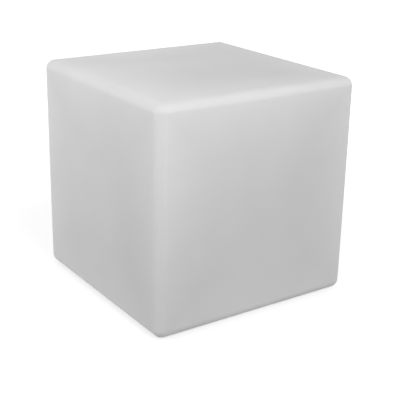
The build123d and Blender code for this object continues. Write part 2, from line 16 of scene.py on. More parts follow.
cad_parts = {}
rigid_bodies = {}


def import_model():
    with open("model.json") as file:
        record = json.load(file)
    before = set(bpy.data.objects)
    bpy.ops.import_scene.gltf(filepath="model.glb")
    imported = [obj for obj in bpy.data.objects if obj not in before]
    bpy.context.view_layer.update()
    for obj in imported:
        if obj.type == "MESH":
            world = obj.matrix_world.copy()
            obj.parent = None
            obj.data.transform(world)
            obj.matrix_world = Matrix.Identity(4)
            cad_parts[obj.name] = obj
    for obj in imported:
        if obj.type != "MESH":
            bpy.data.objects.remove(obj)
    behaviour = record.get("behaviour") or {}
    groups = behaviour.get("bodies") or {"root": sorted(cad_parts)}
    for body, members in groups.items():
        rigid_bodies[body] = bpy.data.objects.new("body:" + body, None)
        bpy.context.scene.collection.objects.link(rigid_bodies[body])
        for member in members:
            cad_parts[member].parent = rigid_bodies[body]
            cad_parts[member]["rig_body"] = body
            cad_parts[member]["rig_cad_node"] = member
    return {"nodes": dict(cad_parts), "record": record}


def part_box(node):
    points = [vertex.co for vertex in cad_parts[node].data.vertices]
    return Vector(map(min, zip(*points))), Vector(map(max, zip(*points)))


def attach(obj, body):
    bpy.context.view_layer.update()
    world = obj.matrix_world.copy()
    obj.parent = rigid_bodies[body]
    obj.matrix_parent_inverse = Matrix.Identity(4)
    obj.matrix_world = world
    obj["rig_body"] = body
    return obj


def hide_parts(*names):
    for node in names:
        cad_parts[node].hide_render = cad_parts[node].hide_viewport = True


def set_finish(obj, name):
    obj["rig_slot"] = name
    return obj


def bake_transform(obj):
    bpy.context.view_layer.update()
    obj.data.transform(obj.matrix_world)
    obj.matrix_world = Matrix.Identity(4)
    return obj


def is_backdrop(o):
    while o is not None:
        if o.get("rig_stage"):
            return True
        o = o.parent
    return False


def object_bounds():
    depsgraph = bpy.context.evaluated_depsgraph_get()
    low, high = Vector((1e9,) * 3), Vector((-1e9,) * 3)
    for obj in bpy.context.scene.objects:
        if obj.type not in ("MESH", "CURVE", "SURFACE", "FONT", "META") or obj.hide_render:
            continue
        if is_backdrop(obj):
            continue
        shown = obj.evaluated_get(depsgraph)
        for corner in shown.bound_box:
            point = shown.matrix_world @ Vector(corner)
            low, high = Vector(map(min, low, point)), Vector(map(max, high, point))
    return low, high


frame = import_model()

cad_low, cad_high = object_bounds()
cube_middle = (cad_low + cad_high) / 2
print("packed model", len(frame["nodes"]), "nodes, box", tuple(cad_low), tuple(cad_high))

# %% [markdown]
# ## The camera
# The photograph looks down by twenty degrees at the cube's near corner, from well back, so the uprights
# hardly lean. A long lens repeats that. The camera could be aimed by a constraint, but three plain angles
# are easier to fit to a photograph: a pan round the upright axis, a tilt down, and a slight roll.

# %% Place the camera
camera_place = Vector((-0.9011, -1.3257, 0.7355))
pan_angle = math.radians(34.67)
tilt_angle = math.radians(20.04)
roll_angle = math.radians(1.14)
lens_length = 82.5

camera_data = bpy.data.cameras.new("camera")
camera_data.lens = lens_length
camera = bpy.data.objects.new("camera", camera_data)
bpy.context.scene.collection.objects.link(camera)
camera.matrix_world = (
    Matrix.Translation(camera_place)
    @ Matrix.Rotation(-pan_angle, 4, "Z")
    @ Matrix.Rotation(math.radians(90) - tilt_angle, 4, "X")
    @ Matrix.Rotation(roll_angle, 4, "Z")
)
bpy.context.scene.camera = camera
bpy.context.scene.view_settings.view_transform = "Standard"
print("camera", round((camera_place - cube_middle).length, 3), "m from the cube's middle")

# %% [markdown]
# ## The cube's skin
# The real shell is one hollow moulding: plastic powder melts onto the inside of a turning mould, so its
# wall is even and every edge is softly rounded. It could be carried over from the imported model, but there
# each rounded edge is a few flat strips, which show on a shape as plain as this. So a block is added at the
# cube's size, shaped with the operators that a modeller picks from the menus, and given its wall last. An
# operator acts on all that is selected, so each step first lets go of everything.

# %% A block of the cube's size
shell_low, shell_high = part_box("shell")
side = shell_high.x - shell_low.x
shell_height = shell_high.z - shell_low.z
shell_middle_z = (shell_low.z + shell_high.z) / 2


def let_go():
    """Leaves edit mode and deselects everything."""
    if bpy.context.mode != "OBJECT":
        bpy.ops.object.mode_set(mode="OBJECT")
    bpy.ops.object.select_all(action="DESELECT")


def new_block(name, place, size):
    """A box round its place, with its place and size in its mesh."""
    let_go()
    bpy.ops.mesh.primitive_cube_add(size=1, location=place, scale=size)
    block = bpy.context.active_object
    block.name = name
    bpy.ops.object.transform_apply(location=True, rotation=True, scale=True)
    return block


cube_shell = new_block("cube_shell", (0, 0, shell_middle_z), (side, side, shell_height))
print("block", round(side, 4), "m wide and", round(shell_height, 4), "m high")

# %% [markdown]
# ## Rounded edges
# All twelve edges of the moulding have the same radius, 16.5 mm, because plastic powder doesn't fill a sharp
# corner of the mould evenly. A Bevel modifier could round them, but the recess that is cut next has edges
# that must stay sharp. So the bevel is made once, in edit mode, while the block has only its own edges.

# %% Round the twelve edges
edge_radius = 0.0165
edge_segments = 14


def take_up(piece):
    """Selects one piece alone and makes it the active one."""
    let_go()
    piece.select_set(True)
    bpy.context.view_layer.objects.active = piece


def edit_all(piece):
    """Opens a piece in edit mode with its whole mesh selected."""
    take_up(piece)
    bpy.ops.object.mode_set(mode="EDIT")
    bpy.ops.mesh.select_mode(type="VERT")
    bpy.ops.mesh.select_all(action="SELECT")


edit_all(cube_shell)
bpy.ops.mesh.bevel(offset=edge_radius, segments=edge_segments, profile=0.5, affect="EDGES")
bpy.ops.object.mode_set(mode="OBJECT")
print("rounded block of", len(cube_shell.data.polygons), "faces")

# %% [markdown]
# ## The round recess in the base
# Under the cube, the mould leaves a round recess with a flat seat for the light module, and its mouth is
# rounded like every edge of such a moulding. It is a turned shape, as the feet and the screws are. So half
# of its outline is written down first: from the axis out along the seat, down the wall, round the mouth,
# and back to the axis below the cube, where the cutter has to stand clear of the plastic.

# %% Outline of the recess
seat_level = 0.0175
opening_radius = 0.06297
recess_radius = 0.07997
mouth_radius = 0.003
mouth_steps = 6
underside = shell_low.z
recess_cutter_low = underside - 0.005

mouth_arc = []
for step in range(mouth_steps + 1):
    turn = math.radians(90) * step / mouth_steps
    outwards = recess_radius + mouth_radius * (1 - math.cos(turn))
    upwards = underside + mouth_radius * (1 - math.sin(turn))
    mouth_arc.append((outwards, upwards))
recess_outline = [
    (0, seat_level),
    (opening_radius, seat_level),
    (recess_radius, seat_level),
    *mouth_arc,
    (recess_radius + mouth_radius, recess_cutter_low),
    (0, recess_cutter_low),
]
print("outline of", len(recess_outline), "points, seat", round((seat_level - underside) * 1000, 1), "mm up")

# %% [markdown]
# ## Turning an outline
# A Screw modifier could turn the outline, but by hand a modeller draws it as a chain of points and spins it
# round the axis, and the helper below does the same: a small plane is merged to one point, the point is
# extruded along the outline, and the chain is spun. Spinning can leave the shape inside out, so its doubles
# are merged and its normals recalculated.

# %% Turn the recess's cutter
speck_size = 0.001
merge_reach = 1e-6


def turned(name, outline, place, steps):
    """Turns a chain of (radius, height) points, from the axis back to the axis, into a solid."""
    let_go()
    bpy.ops.mesh.primitive_plane_add(size=speck_size, location=(0, 0, 0))
    piece = bpy.context.active_object
    piece.name = name
    edit_all(piece)
    bpy.ops.mesh.merge(type="CENTER")
    points = [Vector((place[0] + radius, place[1], height)) for radius, height in outline]
    bpy.ops.transform.translate(value=points[0])
    for start, end in zip(points, points[1:]):
        bpy.ops.mesh.extrude_vertices_move(TRANSFORM_OT_translate={"value": end - start})
    bpy.ops.mesh.select_all(action="SELECT")
    bpy.ops.mesh.spin(steps=steps, angle=math.tau, center=(*place, 0), axis=(0, 0, 1))
    bpy.ops.mesh.select_all(action="SELECT")
    bpy.ops.mesh.remove_doubles(threshold=merge_reach)
    bpy.ops.mesh.normals_make_consistent(inside=False)
    bpy.ops.object.mode_set(mode="OBJECT")
    return piece


cube_axis = (0, 0)
recess_cutter = turned("recess_cutter", recess_outline, cube_axis, steps=144)
print("recess cutter of", len(recess_cutter.data.polygons), "faces")

# %% [markdown]
# ## Cutting one shape out of another
# A Boolean modifier takes the cutter out of the block. The base could be inset and pushed in by hand, but a
# circle in a square face leaves a fan of long thin faces to tend. The exact solver keeps the edges clean. A
# cut can leave points on top of each other, which show as dark specks, so they are merged right away.

# %% Cut the recess
cut_merge_reach = 2e-6


def apply_modifier(piece, kind, **settings):
    """Puts one modifier on a piece and applies it."""
    take_up(piece)
    modifier = piece.modifiers.new(kind.lower(), kind)
    for setting, value in settings.items():
        setattr(modifier, setting, value)
    bpy.ops.object.modifier_apply(modifier=modifier.name)


def cut_away(piece, cutter):
    """Takes the cutter out of the piece, and merges what the cut leaves doubled."""
    apply_modifier(piece, "BOOLEAN", operation="DIFFERENCE", solver="EXACT", object=cutter)
    bpy.data.objects.remove(cutter, do_unlink=True)
    edit_all(piece)
    bpy.ops.mesh.remove_doubles(threshold=cut_merge_reach)
    bpy.ops.mesh.dissolve_degenerate(threshold=cut_merge_reach)
    bpy.ops.object.mode_set(mode="OBJECT")


cut_away(cube_shell, recess_cutter)
print("with its recess, the block has", len(cube_shell.data.polygons), "faces")

# %% [markdown]
# ## Foot pockets and insert holes
# The mould also leaves a shallow pocket for each rubber foot, and six holes above the seat for the brass
# inserts that the module's screws go into. They are plain round holes, so one helper drills them with a
# turned bit. The bit starts well outside the plastic, because one that ends flush with a face can leave a
# skin over the hole.

# %% Drill the foot pockets
pocket_radius = 0.0127
pocket_top = 0.005
pocket_bit_low = -0.002
foot_offset = 0.150
foot_places = [(x * foot_offset, y * foot_offset) for x in (-1, 1) for y in (-1, 1)]


def drill(piece, place, radius, top, low, steps):
    """Cuts a round hole with a flat end."""
    bit_outline = [(0, top), (radius, top), (radius, low), (0, low)]
    cut_away(piece, turned("drill_bit", bit_outline, place, steps))


for place in foot_places:
    drill(cube_shell, place, pocket_radius, pocket_top, pocket_bit_low, steps=48)
print(len(foot_places), "pockets", round((pocket_top - underside) * 1000, 1), "mm deep")

# %% Drill the insert holes
insert_radius = 0.00325
insert_top = 0.0255
insert_bit_low = 0.010
insert_circle = 0.07147
screw_count = 6
screw_places = []
for number in range(screw_count):
    turn = math.radians(360 / screw_count * number)
    screw_places.append((insert_circle * math.cos(turn), insert_circle * math.sin(turn)))
for place in screw_places:
    drill(cube_shell, place, insert_radius, insert_top, insert_bit_low, steps=32)
print(len(screw_places), "insert holes; the cut block has", len(cube_shell.data.polygons), "faces")

# %% [markdown]
# ## Opening the base
# The real cube is open inside the seat, where the light module goes in. The opening could be cut like the
# holes, but the wall has no thickness yet, so it is enough to delete the flat disc inside the seat. Its
# faces are picked by their place: they lie at the level of the seat, look along the axis, and are nearer to
# it than the opening's rim.

# %% Open the base
hair = 0.0001
level_normal = 0.9


def pick_faces(piece, wanted):
    """Selects the faces of the active piece that pass the test, and says how many they are."""
    bpy.ops.object.mode_set(mode="EDIT")
    bpy.ops.mesh.select_mode(type="FACE")
    bpy.ops.mesh.select_all(action="DESELECT")
    bpy.ops.object.mode_set(mode="OBJECT")
    count = 0
    for face in piece.data.polygons:
        face.select = wanted(face)
        count += face.select
    bpy.ops.object.mode_set(mode="EDIT")
    return count


def inside_opening(face):
    middle = face.center
    on_seat = abs(middle.z - seat_level) < hair and abs(face.normal.z) > level_normal
    return on_seat and math.hypot(middle.x, middle.y) < opening_radius - hair


take_up(cube_shell)
opened = pick_faces(cube_shell, inside_opening)
bpy.ops.mesh.delete(type="FACE")
bpy.ops.mesh.select_all(action="SELECT")
bpy.ops.mesh.normals_make_consistent(inside=False)
bpy.ops.object.mode_set(mode="OBJECT")
print("deleted", opened, "faces")

# %% [markdown]
# ## The wall
# The melt coats the mould evenly, so the wall is 3.5 mm thick everywhere. A Solidify modifier grows it
# inwards from the finished outside. A second, smaller block could be cut out instead, but it would have to
# repeat the recess and all ten holes. Shading is smooth except over sharp edges, and weighted normals keep
# the wide faces flat right up to their rounded edges.

# %% Thicken the wall and smooth the shading
wall = 0.0035


def smooth_up_to(piece, degrees):
    """Shades a piece smooth, except over edges that are sharper than this."""
    take_up(piece)
    bpy.ops.object.shade_smooth_by_angle(angle=math.radians(degrees))


apply_modifier(cube_shell, "SOLIDIFY", thickness=wall, offset=-1, use_even_offset=True, use_rim=True)
smooth_up_to(cube_shell, 35)
apply_modifier(cube_shell, "WEIGHTED_NORMAL", keep_sharp=True, weight=100)
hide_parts("shell")
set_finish(cube_shell, "shell_plastic")
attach(cube_shell, "lamp")
print("the shell has", len(cube_shell.data.polygons), "faces")

# %% [markdown]
# ## Rubber feet
# Four soft rubber feet sit glued in their pockets. A real one is a low disc with a shallow dish in its
# sole, so that it stands on a ring and grips. A bevelled cylinder would come close, but the dish needs an
# outline of its own, so the foot is turned. It is made once and copied to the other corners, and each copy
# gets its own mesh, because a copy that shares one would move with the first.

# %% Turn one foot
foot_low, foot_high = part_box("rubber_foot_1")
foot_middle = (foot_low + foot_high) / 2
foot_radius = (foot_high.x - foot_low.x) / 2
foot_top = foot_high.z
sole_dish = 0.0008
foot_outline = [
    (0, sole_dish),
    (0.0068, sole_dish),
    (0.0078, 0.0002),
    (0.0084, 0),
    (foot_radius - 0.0006, 0),
    (foot_radius - 0.0002, 0.0002),
    (foot_radius, 0.0006),
    (foot_radius, foot_top),
    (0, foot_top),
]
first_foot = turned("foot_pad_1", foot_outline, (foot_middle.x, foot_middle.y), steps=64)
smooth_up_to(first_foot, 50)
print("one foot of", len(first_foot.data.polygons), "faces")


# %% Copy the foot to the other corners
def copy_to(piece, name, shift):
    """A copy with its own mesh, moved in its mesh, so that its object stays at the origin."""
    twin = piece.copy()
    twin.data = piece.data.copy()
    twin.name = name
    twin.data.transform(Matrix.Translation(shift))
    bpy.context.scene.collection.objects.link(twin)
    return twin


foot_pads = [first_foot]
for number in (2, 3, 4):
    low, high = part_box(f"rubber_foot_{number}")
    foot_pads.append(copy_to(first_foot, f"foot_pad_{number}", (low + high) / 2 - foot_middle))
for number, pad in enumerate(foot_pads, start=1):
    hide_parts(f"rubber_foot_{number}")
    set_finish(pad, "foot_rubber")
    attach(pad, "lamp")
print(len(foot_pads), "feet, each", round(foot_radius * 2000, 1), "mm across")

# %% [markdown]
# ## Screws of the base module
# Six M4 pan-head screws hold the module. The head could be a cylinder with a bevelled rim, but a real one is
# a low dome that falls away to a short straight rim, and a turned outline gives both in one. It runs on
# into the shank. The thread stays out, because it is hidden in its insert.

# %% Turn a screw
screw_low, screw_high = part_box("base_screws")
head_radius = 0.0040
shank_radius = 0.0020
head_height = 0.0028
tip_chamfer = 0.0006
screw_face = screw_low.z
screw_seat = screw_face + head_height
screw_tip = screw_high.z
screw_outline = [
    (0, screw_face),
    (0.0014, screw_face + 0.00005),
    (0.0025, screw_face + 0.00025),
    (0.0033, screw_face + 0.0007),
    (0.0038, screw_face + 0.0014),
    (head_radius, screw_face + 0.0022),
    (head_radius, screw_seat),
    (shank_radius, screw_seat),
    (shank_radius, screw_tip - tip_chamfer),
    (shank_radius - tip_chamfer, screw_tip),
    (0, screw_tip),
]
first_screw = turned("base_screw_1", screw_outline, screw_places[0], steps=40)
print("screw", round((screw_tip - screw_face) * 1000, 1), "mm long")

# %% [markdown]
# ## The cross drive
# A punch forms the cross in the head and leaves it narrower at its bottom. It could be drawn into the head's
# mesh, but a turned head has no edges where the cross runs. So two crossed bars, whose far ends are scaled
# down, are cut out of it. The finished screw is copied round the circle.

# %% Cut the drive
drive_length = 0.0046
drive_width = 0.0009
drive_depth = 0.0030
drive_taper = 0.55
bar_sizes = (
    (drive_length, drive_width, drive_depth),
    (drive_width, drive_length, drive_depth),
)
for bar_size in bar_sizes:
    bar = new_block("drive_bar", (*screw_places[0], screw_face), bar_size)
    pick_faces(bar, lambda face: face.normal.z > level_normal)
    bpy.ops.transform.resize(value=(drive_taper, drive_taper, 1))
    bpy.ops.object.mode_set(mode="OBJECT")
    cut_away(first_screw, bar)
smooth_up_to(first_screw, 40)
print("one screw of", len(first_screw.data.polygons), "faces")

# %% Copy the screw round the circle
base_screws = [first_screw]
for number, place in enumerate(screw_places[1:], start=2):
    shift = Vector((place[0] - screw_places[0][0], place[1] - screw_places[0][1], 0))
    base_screws.append(copy_to(first_screw, f"base_screw_{number}", shift))
for screw in base_screws:
    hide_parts("base_screws")
    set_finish(screw, "stainless")
    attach(screw, "lamp")
print(len(base_screws), "screws")

# %% [markdown]
# ## The push button
# The button is a silicone plunger whose flange lies on the inside of the base plate. Its face is dished for
# a fingertip, with a soft rim that can be felt without looking. It is turned too, because a dish and a rim
# are easier to write as an outline than to sculpt. It rides on its own body, so that it moves when pressed.

# %% Turn the button
button_low, button_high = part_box("power_button")
button_place = ((button_low.x + button_high.x) / 2, (button_low.y + button_high.y) / 2)
button_radius = 0.0060
flange_radius = (button_high.x - button_low.x) / 2
flange_thickness = 0.0015
flange_low = button_high.z - flange_thickness
button_face = button_low.z
button_outline = [
    (0, button_face + 0.0005),
    (0.0018, button_face + 0.00045),
    (0.0034, button_face + 0.0003),
    (0.0044, button_face + 0.00005),
    (0.0050, button_face),
    (0.0055, button_face + 0.0001),
    (0.0059, button_face + 0.0004),
    (button_radius, button_face + 0.0008),
    (button_radius, flange_low),
    (flange_radius, flange_low),
    (flange_radius, button_high.z),
    (0, button_high.z),
]
button_cap = turned("button_cap", button_outline, button_place, steps=64)
smooth_up_to(button_cap, 50)
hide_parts("power_button")
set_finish(button_cap, "silicone")
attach(button_cap, "power_button")
print("button face at", round(button_face * 1000, 2), "mm")

# %% [markdown]
# ## The charging socket's cover
# The cover and its fixed end are one soft moulding that plugs the socket. The solids have the right outline
# but sharp edges, and silicone has none. Both shapes could be drawn again, but a copy keeps every measure:
# its loose triangles are merged, its flat faces are joined again, and a narrow bevel rounds its edges.

# %% Soften the cover
soft_edge = 0.0004
flat_angle = math.radians(1)
sharp_angle = math.radians(60)
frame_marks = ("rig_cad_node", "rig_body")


def softened(node, name):
    """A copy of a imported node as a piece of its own, without the frame's marks and with rounded edges."""
    piece = frame["nodes"][node].copy()
    piece.data = piece.data.copy()
    piece.name = name
    for mark in frame_marks:
        if mark in piece:
            del piece[mark]
    piece.parent = None
    bpy.context.scene.collection.objects.link(piece)
    edit_all(piece)
    bpy.ops.mesh.remove_doubles(threshold=merge_reach)
    bpy.ops.mesh.dissolve_limited(angle_limit=flat_angle)
    bpy.ops.object.mode_set(mode="OBJECT")
    apply_modifier(
        piece, "BEVEL", width=soft_edge, segments=3, limit_method="ANGLE", angle_limit=sharp_angle
    )
    return piece


cover_flap = softened("port_cover", "cover_flap")
print("softened cover of", len(cover_flap.data.polygons), "faces")

# %% [markdown]
# ## Ridges on the pull tab
# Three small ridges give a fingernail something to catch. They could be extruded from the tab's face, but
# that face is one large polygon after the merging above. So each ridge is a rounded bar that is let into
# the face by half its height and joined to the cover.

# %% Add the ridges
cover_low, cover_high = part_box("port_cover")
cover_middle_y = (cover_low.y + cover_high.y) / 2
ridge_size = Vector((0.0007, 0.0050, 0.0008))
ridge_edge = 0.0002
ridges_inward = (0.0021, 0.0037, 0.0053)
for inward in ridges_inward:
    ridge = new_block("ridge", (cover_low.x + inward, cover_middle_y, cover_low.z), ridge_size)
    apply_modifier(ridge, "BEVEL", width=ridge_edge, segments=3)
    take_up(cover_flap)
    ridge.select_set(True)
    bpy.ops.object.join()
smooth_up_to(cover_flap, 50)
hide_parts("port_cover")
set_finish(cover_flap, "silicone")
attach(cover_flap, "port_cover")
print("with its ridges, the cover has", len(cover_flap.data.polygons), "faces")

# %% [markdown]
# ## The cover's fixed end
# This end of the moulding is buttoned through a hole in the base plate and never moves. It could be joined
# to the cover, but then it would swing with it. So it is a piece of its own that rides on the lamp, and it
# gets the same soft edges, so that the two look like one moulding.

# %% Soften the fixed end
cover_root = softened("port_cover_anchor", "cover_root")
smooth_up_to(cover_root, 50)
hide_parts("port_cover_anchor")
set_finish(cover_root, "silicone")
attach(cover_root, "lamp")
print("fixed end of", len(cover_root.data.polygons), "faces")

# %% [markdown]
# ## The cover's living hinge
# The cover folds in a groove, where only a thin web of silicone joins it to its fixed end. A hinge made of
# two rigid pieces would show a gap there once the cover is down, so the web is a strip of its own. It starts
# as a thin rounded block across the groove.

# %% A strip for the web
root_low, root_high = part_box("port_cover_anchor")
hinge_x = cover_high.x
hinge_y = (root_low.y + root_high.y) / 2
web_reach = 0.0016
web_side_gap = 0.0002
web_edge = 0.0002
web_width = root_high.y - root_low.y - 2 * web_side_gap
web_low = cover_low.z + 0.00025
web_high = cover_low.z + 0.0009
web_size = (2 * web_reach, web_width, web_high - web_low)

hinge_web = new_block("hinge_web", (hinge_x, hinge_y, (web_low + web_high) / 2), web_size)
edit_all(hinge_web)
bpy.ops.mesh.bevel(offset=web_edge, segments=3, profile=0.5, affect="EDGES")
bpy.ops.object.mode_set(mode="OBJECT")
print("strip", round(web_width * 1000, 1), "mm wide, of", len(hinge_web.data.polygons), "faces")

# %% [markdown]
# ## Cutting the web into bands
# A strip can only bend where it has points, so it is cut into narrow bands over the groove. A subdivision
# would also split the rest of it, so Bisect is used, which cuts along one plane at a time.

# %% Cut the web into bands
bend_reach = 0.0007
bend_cuts = 13
edit_all(hinge_web)
for step in range(bend_cuts):
    cut_x = hinge_x + bend_reach * (2 * step / (bend_cuts - 1) - 1)
    bpy.ops.mesh.select_all(action="SELECT")
    bpy.ops.mesh.bisect(plane_co=(cut_x, 0, 0), plane_no=(1, 0, 0))
smooth_up_to(hinge_web, 50)
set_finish(hinge_web, "silicone")
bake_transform(hinge_web)
print("web of", len(hinge_web.data.polygons), "faces, bending over", round(bend_reach * 2000, 1), "mm")

# %% [markdown]
# ## Mould grain and slow mottling
# The mould's blasted inside leaves a fine even grain on the plastic, and the thickness of the melt varies a
# little, which shows as slow mottling. Every finish needs them. Nodes could be copied into each material,
# but then a change would have to be made many times, so they are one node group with named inputs. It
# reads Object coordinates, so the pattern sits still on the piece, and a seed lets a material choose its
# own clouds. A group puts out only masks and heights, and the shader stays in each material.

# %% Build the grain group
def start_group(name, inputs, outputs):
    """A new group with these numbers as inputs, and its two end nodes."""
    group = bpy.data.node_groups.new(name, "ShaderNodeTree")
    for socket_name, value in inputs.items():
        socket = group.interface.new_socket(socket_name, in_out="INPUT", socket_type="NodeSocketFloat")
        socket.default_value = value
    for socket_name in outputs:
        group.interface.new_socket(socket_name, in_out="OUTPUT", socket_type="NodeSocketFloat")
    return group, group.nodes.new("NodeGroupInput"), group.nodes.new("NodeGroupOutput")


def make_grain_group():
    group, given, result = start_group(
        "mould_grain",
        {"Grain per metre": 700.0, "Mottles per metre": 9.0, "Mottle seed": 0.0},
        ("Grain", "Mottle"),
    )
    where = group.nodes.new("ShaderNodeTexCoord")
    for output, scale, detail in (("Grain", "Grain per metre", 2.0), ("Mottle", "Mottles per metre", 3.0)):
        noise = group.nodes.new("ShaderNodeTexNoise")
        noise.noise_dimensions = "4D"
        noise.inputs["Detail"].default_value = detail
        group.links.new(where.outputs["Object"], noise.inputs["Vector"])
        group.links.new(given.outputs[scale], noise.inputs["Scale"])
        group.links.new(given.outputs["Mottle seed"], noise.inputs["W"])
        group.links.new(noise.outputs["Fac"], result.inputs[output])
    return group


grain_group = make_grain_group()
print(grain_group.name, "has", len(grain_group.nodes), "nodes")

# %% [markdown]
# ## Light that leaks through the edges
# The plastic is milky, so light enters the wall and spreads. In the middle of a face much of it is lost into
# the hollow cube, and near an edge it comes out again through the neighbouring wall, so the edges look paler.
# A true simulation of that light would be slow and noisy. Instead, that light is painted into the colour,
# where a group measures how near a point is to an edge: of its three distances from the cube's planes, the
# smallest says which face it is on, and the second smallest is its distance from the nearest edge.

# %% Measure the distance to the nearest edge
def math_node(tree, operation, first, second=None, clamp=False):
    """A Math node on numbers or on other nodes' outputs."""
    node = tree.nodes.new("ShaderNodeMath")
    node.operation = operation
    node.use_clamp = clamp
    for socket, value in zip(node.inputs, (first, second)):
        if isinstance(value, (int, float)):
            socket.default_value = value
        elif value is not None:
            tree.links.new(value, socket)
    return node.outputs[0]


edge_group, edge_given, edge_masks = start_group(
    "edge_nearness",
    {"Half side": side / 2, "Middle height": side / 2, "Band": 0.05, "Edge radius": edge_radius},
    ("Painted edge light", "Painted rounding highlight", "Painted top light"),
)
where = edge_group.nodes.new("ShaderNodeTexCoord")
along = edge_group.nodes.new("ShaderNodeSeparateXYZ")
edge_group.links.new(where.outputs["Object"], along.inputs[0])
height = math_node(edge_group, "SUBTRACT", along.outputs["Z"], edge_given.outputs["Middle height"])
inward = []
for offset in (along.outputs["X"], along.outputs["Y"], height):
    reach = math_node(edge_group, "ABSOLUTE", offset)
    inward.append(math_node(edge_group, "SUBTRACT", edge_given.outputs["Half side"], reach))
nearer = math_node(edge_group, "MINIMUM", inward[0], inward[1])
farther = math_node(edge_group, "MAXIMUM", inward[0], inward[1])
lower_half = math_node(edge_group, "MINIMUM", farther, inward[2])
from_edge = math_node(edge_group, "MAXIMUM", nearer, lower_half)
print("distance to the nearest edge, worked out by", len(edge_group.nodes), "nodes")

# %% [markdown]
# ## From the distance to masks
# Three masks come out of the group. The first is strongest at the edge and fades over a wide band, faster at
# first, as light thins out while it spreads, and paints the light that leaks through the edges. The second is
# 1 on the rounded strip alone and paints a highlight there. The third grows from the floor to the top and
# paints the top paler, as light from above falls. Colour Ramps could shape them, but a ramp's stops can't be
# inputs of a group, so Math nodes do it.

# %% Make the masks
fall_off = 2.0
rounding_highlight_gain = 4.0
given_radius = edge_given.outputs["Edge radius"]

share = math_node(edge_group, "DIVIDE", from_edge, edge_given.outputs["Band"], clamp=True)
# This mask paints the light that leaks out through the edges into the colour.
painted_edge_light = math_node(edge_group, "POWER", math_node(edge_group, "SUBTRACT", 1.0, share), fall_off)
depth = math_node(edge_group, "SUBTRACT", given_radius, from_edge)
depth_share = math_node(edge_group, "DIVIDE", depth, given_radius)
# This mask paints a highlight on the rounded strip.
painted_rounding_highlight = math_node(edge_group, "MULTIPLY", depth_share, rounding_highlight_gain, clamp=True)
# This mask paints the top paler than the foot, as light from above falls.
painted_top_light = math_node(edge_group, "DIVIDE", along.outputs["Z"], side, clamp=True)
edge_group.links.new(painted_edge_light, edge_masks.inputs["Painted edge light"])
edge_group.links.new(painted_rounding_highlight, edge_masks.inputs["Painted rounding highlight"])
edge_group.links.new(painted_top_light, edge_masks.inputs["Painted top light"])
print(edge_group.name, "has", len(edge_group.nodes), "nodes")

# %% [markdown]
# ## Milky polyethylene
# The cube is the colour of thin milk, satin rather than glossy, and a little translucent. Its material
# starts, like all the others, as a Principled shader. A number that is the same all over the piece, such as
# the roughness, is set on the shader itself, because the export can lose one that comes through other
# nodes. Both groups are placed in it with the shell's own values.

# %% Start the shell's material
def start_material(name, roughness, metallic=0.0):
    material = bpy.data.materials.new(name)
    material.use_nodes = True
    shader = material.node_tree.nodes["Principled BSDF"]
    shader.inputs["Roughness"].default_value = roughness
    shader.inputs["Metallic"].default_value = metallic
    return material, material.node_tree, shader


def place_group(tree, group, **values):
    """Puts a group into a material, with the material's own values for some of its inputs."""
    node = tree.nodes.new("ShaderNodeGroup")
    node.node_tree = group
    for socket_name, value in values.items():
        node.inputs[socket_name.replace("_", " ")].default_value = value
    return node


shell_plastic, shell_tree, shell_shader = start_material("milky_polyethylene", roughness=0.5)
edges = place_group(shell_tree, edge_group, Band=0.13)
grain = place_group(
    shell_tree, grain_group, Grain_per_metre=900.0, Mottles_per_metre=3.6, Mottle_seed=9.1
)
print(shell_plastic.name, "with", edges.node_tree.name, "and", grain.node_tree.name)

# %% [markdown]
# ## Where light is painted onto the shell
# One even grey would look like painted wood. The cube's faces are greyest in the middle, and paler near their
# edges and towards the top, with slow clouds. The paleness near the edges is painted light that leaks through
# the walls, the rounded strips get a painted highlight, and the paler top is painted light from above; only
# the slow clouds are the plastic's own uneven tone. Shades could be painted on the faces that show, but the
# cube has to look right from all sides. So the masks are added up with weights, and the mottling takes a
# little paleness away.

# %% Add up the paleness
paleness_base = 0.48


def weighted_sum(tree, start, *terms):
    """start plus each (mask, weight), as a chain of Multiply Add nodes."""
    total = start
    for mask, weight in terms:
        node = tree.nodes.new("ShaderNodeMath")
        node.operation = "MULTIPLY_ADD"
        tree.links.new(mask, node.inputs[0])
        node.inputs[1].default_value = weight
        if isinstance(total, float):
            node.inputs[2].default_value = total
        else:
            tree.links.new(total, node.inputs[2])
        total = node.outputs[0]
    return total


# Painted light: the edge, rounding and height terms paint light into the colour, and the mottle term is the
# plastic's own uneven tone.
paleness = weighted_sum(
    shell_tree,
    paleness_base,
    (edges.outputs["Painted edge light"], 0.27),
    (edges.outputs["Painted rounding highlight"], 0.06),
    (edges.outputs["Painted top light"], 0.25),
    (grain.outputs["Mottle"], -0.53),
)
print("paleness starts at", paleness_base)

# %% [markdown]
# ## Tone and grain of the shell
# The paleness chooses between two greys. A Colour Ramp could do it too, but with two ends a Mix node is
# simpler. The grain is three hundredths of a millimetre deep and only breaks up the gloss, so a Bump node
# raises it, where true displacement would need millions of faces.

# %% Tone and grain
# The deeper grey is the painted shade of the faces' middles and lower parts, the paler one the painted light
# of the edges and the top; the mottling moves between them as well.
deep_milk = (0.56, 0.56, 0.56)
pale_milk = (0.92, 0.92, 0.92)
shell_grain_depth = 0.00003


def colour_socket(sockets, number):
    """A Mix node has sockets for numbers, vectors and colours side by side. This picks a colour one."""
    return [socket for socket in sockets if socket.type == "RGBA"][number]


def blend_colours(tree, share, first, second):
    node = tree.nodes.new("ShaderNodeMix")
    node.data_type = "RGBA"
    tree.links.new(share, node.inputs[0])
    colour_socket(node.inputs, 0).default_value = (*first, 1)
    colour_socket(node.inputs, 1).default_value = (*second, 1)
    return colour_socket(node.outputs, 0)


